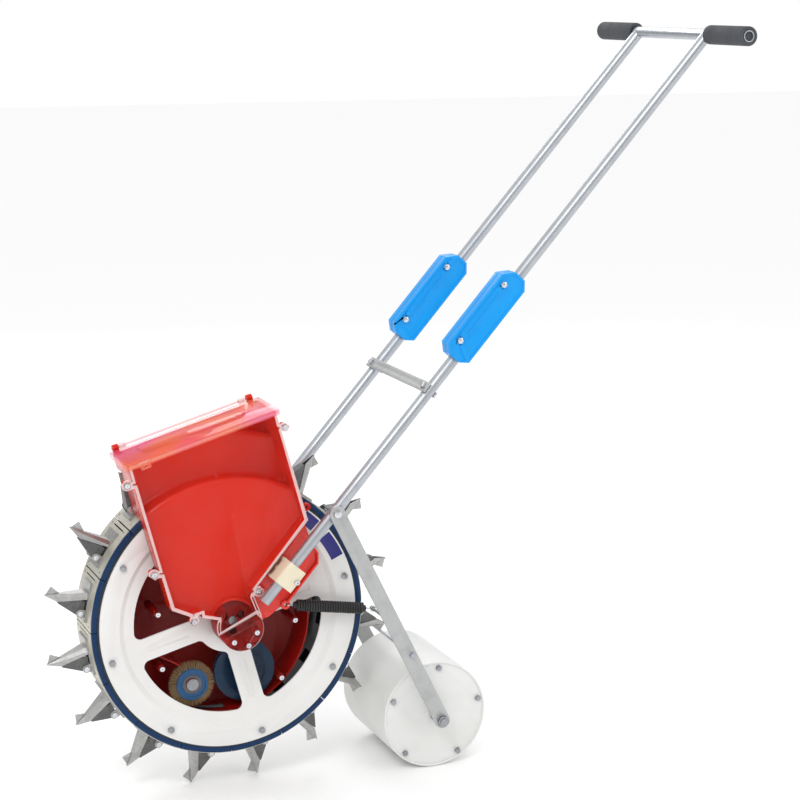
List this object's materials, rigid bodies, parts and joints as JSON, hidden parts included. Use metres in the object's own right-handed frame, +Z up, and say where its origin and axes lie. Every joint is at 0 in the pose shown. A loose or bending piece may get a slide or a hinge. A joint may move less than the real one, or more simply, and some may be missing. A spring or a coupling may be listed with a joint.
{
  "type": "garden spreader",
  "caption": "Hand-push rolling spreader for seed or granules: side hopper, toothed drum wheel with opening bills, press roller and push handle.",
  "frame": {"origin": "middle of the part's box on the floor that the bills and the roller stand on", "axes": "+X to the rear, towards the handlebar; the part rolls towards -X; +Z up; +Y to the side away from the hopper"},
  "size_m": [1.143, 0.502, 1.2473],
  "materials": {
    "red_plastic": "moulded, glossy",
    "clear_plastic": "clear moulded sheet",
    "screw_steel": "plated",
    "axle_steel": "turned",
    "dark_red_plastic": "moulded",
    "red_paint": "painted pressed steel",
    "ivory_plastic": "moulded",
    "tube_steel": "satin plated tube",
    "plate_steel": "galvanised sheet",
    "blue_plastic": "moulded",
    "foam": "foam rubber",
    "black_sleeve": "sleeved coil",
    "white_plastic": "moulded",
    "black_plastic": "moulded",
    "navy_plastic": "moulded",
    "spring_steel": "wire",
    "teal_plastic": "moulded",
    "bristle": "bristles on a moulded core"
  },
  "bodies": {
    "frame": {"hopper_shell": "red_plastic", "hopper_cover": "clear_plastic", "cover_screws": "screw_steel", "hub_neck": "red_plastic", "main_axle": "axle_steel", "metering_housing": "dark_red_plastic", "metering_cover": "clear_plastic", "handle_bracket_near": "red_paint", "far_bracket": "red_paint", "tube_clamps": "ivory_plastic", "clamp_bolts": "screw_steel", "lower_tube_near": "tube_steel", "lower_tube_far": "tube_steel", "crossbar": "plate_steel", "frame_bolts": "screw_steel", "connector_near": "blue_plastic", "connector_far": "blue_plastic", "handle_top": "tube_steel", "grip_near": "foam", "grip_far": "foam", "lid_hinge_pin": "axle_steel", "arm_pivot_bolts": "screw_steel", "press_spring": "black_sleeve"},
    "lid_body": {"lid": "clear_plastic"},
    "wheel": {"disc_near": "white_plastic", "disc_far": "white_plastic", "rim_core": "black_plastic", "rim_rings": "navy_plastic", "tread_plates": "plate_steel", "bill_shells": "plate_steel", "bill_springs": "spring_steel", "jaw_bolts": "screw_steel", "disc_bolts": "screw_steel", "ring_gear": "black_plastic"},
    "metering": {"metering_wheel": "teal_plastic", "metering_shaft": "axle_steel"},
    "brush": {"brush_wheel": "bristle"},
    "press_arm": {"arm_near": "plate_steel", "arm_far": "plate_steel", "arm_cross_rod": "axle_steel", "roller_axle": "axle_steel"},
    "roller": {"roller_drum": "white_plastic", "roller_caps": "white_plastic", "roller_bolts": "screw_steel"},
    "jaw_01_body": {"jaw_01": "plate_steel"},
    "jaw_02_body": {"jaw_02": "plate_steel"},
    "jaw_03_body": {"jaw_03": "plate_steel"},
    "jaw_04_body": {"jaw_04": "plate_steel"},
    "jaw_05_body": {"jaw_05": "plate_steel"},
    "jaw_06_body": {"jaw_06": "plate_steel"},
    "jaw_07_body": {"jaw_07": "plate_steel"},
    "jaw_08_body": {"jaw_08": "plate_steel"},
    "jaw_09_body": {"jaw_09": "plate_steel"},
    "jaw_10_body": {"jaw_10": "plate_steel"},
    "jaw_11_body": {"jaw_11": "plate_steel"},
    "jaw_12_body": {"jaw_12": "plate_steel"},
    "jaw_13_body": {"jaw_13": "plate_steel"},
    "jaw_14_body": {"jaw_14": "plate_steel"},
    "jaw_15_body": {"jaw_15": "plate_steel"},
    "jaw_16_body": {"jaw_16": "plate_steel"}
  },
  "joints": [
    {"name": "lid_hinge", "type": "hinge", "parent": "frame", "child": "lid_body", "pos_m": [-0.45352, 0.005, 0.5785], "axis": [-0.9608, 0, -0.2772], "range_deg": [0, 105]},
    {"name": "wheel_spin", "type": "hinge", "parent": "frame", "child": "wheel", "pos_m": [-0.27713, -0.01, 0.29439], "axis": [0, -1, 0], "continuous": true},
    {"name": "metering_spin", "type": "hinge", "parent": "frame", "child": "metering", "pos_m": [-0.24713, -0.035, 0.19539], "axis": [0, -1, 0], "continuous": true},
    {"name": "brush_spin", "type": "hinge", "parent": "frame", "child": "brush", "pos_m": [-0.33813, -0.036, 0.18239], "axis": [0, -1, 0], "continuous": true},
    {"name": "press_arm_pivot", "type": "hinge", "parent": "frame", "child": "press_arm", "pos_m": [-0.11406, 0, 0.47184], "axis": [0, -1, 0], "range_deg": [0, 20], "stiffness_Nm_per_rad": 20, "springref_deg": -34.38, "deforming": ["press_spring"]},
    {"name": "roller_spin", "type": "hinge", "parent": "press_arm", "child": "roller", "pos_m": [0.07287, 0, 0.093], "axis": [0, -1, 0], "continuous": true},
    {"name": "jaw_01_hinge", "type": "hinge", "parent": "wheel", "child": "jaw_01_body", "pos_m": [-0.49001, -0.01, 0.41138], "axis": [0, -1, 0], "range_deg": [0, 25], "stiffness_Nm_per_rad": 0.15, "springref_deg": -20.05},
    {"name": "jaw_02_hinge", "type": "hinge", "parent": "wheel", "child": "jaw_02_body", "pos_m": [-0.51858, -0.01, 0.32101], "axis": [0, -1, 0], "range_deg": [0, 25], "stiffness_Nm_per_rad": 0.15, "springref_deg": -20.05},
    {"name": "jaw_03_hinge", "type": "hinge", "parent": "wheel", "child": "jaw_03_body", "pos_m": [-0.51038, -0.01, 0.22658], "axis": [0, -1, 0], "range_deg": [0, 25], "stiffness_Nm_per_rad": 0.15, "springref_deg": -20.05},
    {"name": "jaw_04_hinge", "type": "hinge", "parent": "wheel", "child": "jaw_04_body", "pos_m": [-0.46668, -0.01, 0.14248], "axis": [0, -1, 0], "range_deg": [0, 25], "stiffness_Nm_per_rad": 0.15, "springref_deg": -20.05},
    {"name": "jaw_05_hinge", "type": "hinge", "parent": "wheel", "child": "jaw_05_body", "pos_m": [-0.39412, -0.01, 0.08151], "axis": [0, -1, 0], "range_deg": [0, 25], "stiffness_Nm_per_rad": 0.15, "springref_deg": -20.05},
    {"name": "jaw_06_hinge", "type": "hinge", "parent": "wheel", "child": "jaw_06_body", "pos_m": [-0.30374, -0.01, 0.05294], "axis": [0, -1, 0], "range_deg": [0, 25], "stiffness_Nm_per_rad": 0.15, "springref_deg": -20.05},
    {"name": "jaw_07_hinge", "type": "hinge", "parent": "wheel", "child": "jaw_07_body", "pos_m": [-0.20932, -0.01, 0.06114], "axis": [0, -1, 0], "range_deg": [0, 25], "stiffness_Nm_per_rad": 0.15, "springref_deg": -20.05},
    {"name": "jaw_08_hinge", "type": "hinge", "parent": "wheel", "child": "jaw_08_body", "pos_m": [-0.12522, -0.01, 0.10484], "axis": [0, -1, 0], "range_deg": [0, 25], "stiffness_Nm_per_rad": 0.15, "springref_deg": -20.05},
    {"name": "jaw_09_hinge", "type": "hinge", "parent": "wheel", "child": "jaw_09_body", "pos_m": [-0.06425, -0.01, 0.17741], "axis": [0, -1, 0], "range_deg": [0, 25], "stiffness_Nm_per_rad": 0.15, "springref_deg": -20.05},
    {"name": "jaw_10_hinge", "type": "hinge", "parent": "wheel", "child": "jaw_10_body", "pos_m": [-0.03568, -0.01, 0.26778], "axis": [0, -1, 0], "range_deg": [0, 25], "stiffness_Nm_per_rad": 0.15, "springref_deg": -20.05},
    {"name": "jaw_11_hinge", "type": "hinge", "parent": "wheel", "child": "jaw_11_body", "pos_m": [-0.04388, -0.01, 0.3622], "axis": [0, -1, 0], "range_deg": [0, 25], "stiffness_Nm_per_rad": 0.15, "springref_deg": -20.05},
    {"name": "jaw_12_hinge", "type": "hinge", "parent": "wheel", "child": "jaw_12_body", "pos_m": [-0.08758, -0.01, 0.4463], "axis": [0, -1, 0], "range_deg": [0, 25], "stiffness_Nm_per_rad": 0.15, "springref_deg": -20.05},
    {"name": "jaw_13_hinge", "type": "hinge", "parent": "wheel", "child": "jaw_13_body", "pos_m": [-0.16014, -0.01, 0.50727], "axis": [0, -1, 0], "range_deg": [0, 25], "stiffness_Nm_per_rad": 0.15, "springref_deg": -20.05},
    {"name": "jaw_14_hinge", "type": "hinge", "parent": "wheel", "child": "jaw_14_body", "pos_m": [-0.25051, -0.01, 0.53584], "axis": [0, -1, 0], "range_deg": [0, 25], "stiffness_Nm_per_rad": 0.15, "springref_deg": -20.05},
    {"name": "jaw_15_hinge", "type": "hinge", "parent": "wheel", "child": "jaw_15_body", "pos_m": [-0.34494, -0.01, 0.52765], "axis": [0, -1, 0], "range_deg": [0, 25], "stiffness_Nm_per_rad": 0.15, "springref_deg": -20.05},
    {"name": "jaw_16_hinge", "type": "hinge", "parent": "wheel", "child": "jaw_16_body", "pos_m": [-0.42904, -0.01, 0.48394], "axis": [0, -1, 0], "range_deg": [0, 25], "stiffness_Nm_per_rad": 0.15, "springref_deg": -20.05}
  ],
  "couplings": [
    {"joint": "metering_spin", "follows": "wheel_spin", "ratio": 4.1538},
    {"joint": "brush_spin", "follows": "wheel_spin", "ratio": -5.5385}
  ]
}
